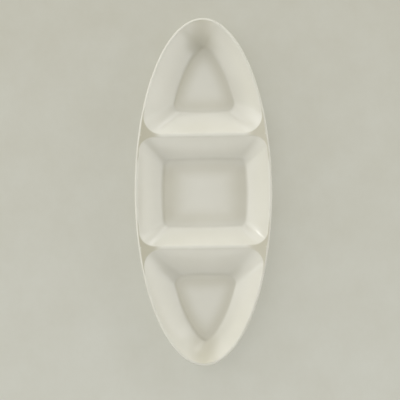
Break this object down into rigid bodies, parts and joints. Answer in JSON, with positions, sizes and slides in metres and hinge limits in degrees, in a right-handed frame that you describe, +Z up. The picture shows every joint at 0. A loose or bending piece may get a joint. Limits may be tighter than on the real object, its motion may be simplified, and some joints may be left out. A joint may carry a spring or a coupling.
{
  "type": "relish tray",
  "caption": "Elliptical porcelain relish tray with sloping walls and rounded dividers that part a central well from pointed wells at the tips, standing on foot rings.",
  "frame": {"origin": "centre of the plane that the foot rings stand on, midway along and across the tray", "axes": "+Z up, out of the wells; +X along the tray towards one tip; +Y across the tray"},
  "size_m": [0.38, 0.1494, 0.03],
  "materials": {
    "glaze": "warm off-white gloss glaze, unglazed only on the rubbed faces of the foot rings"
  },
  "bodies": {
    "root": {"tray": "glaze"}
  },
  "joints": []
}
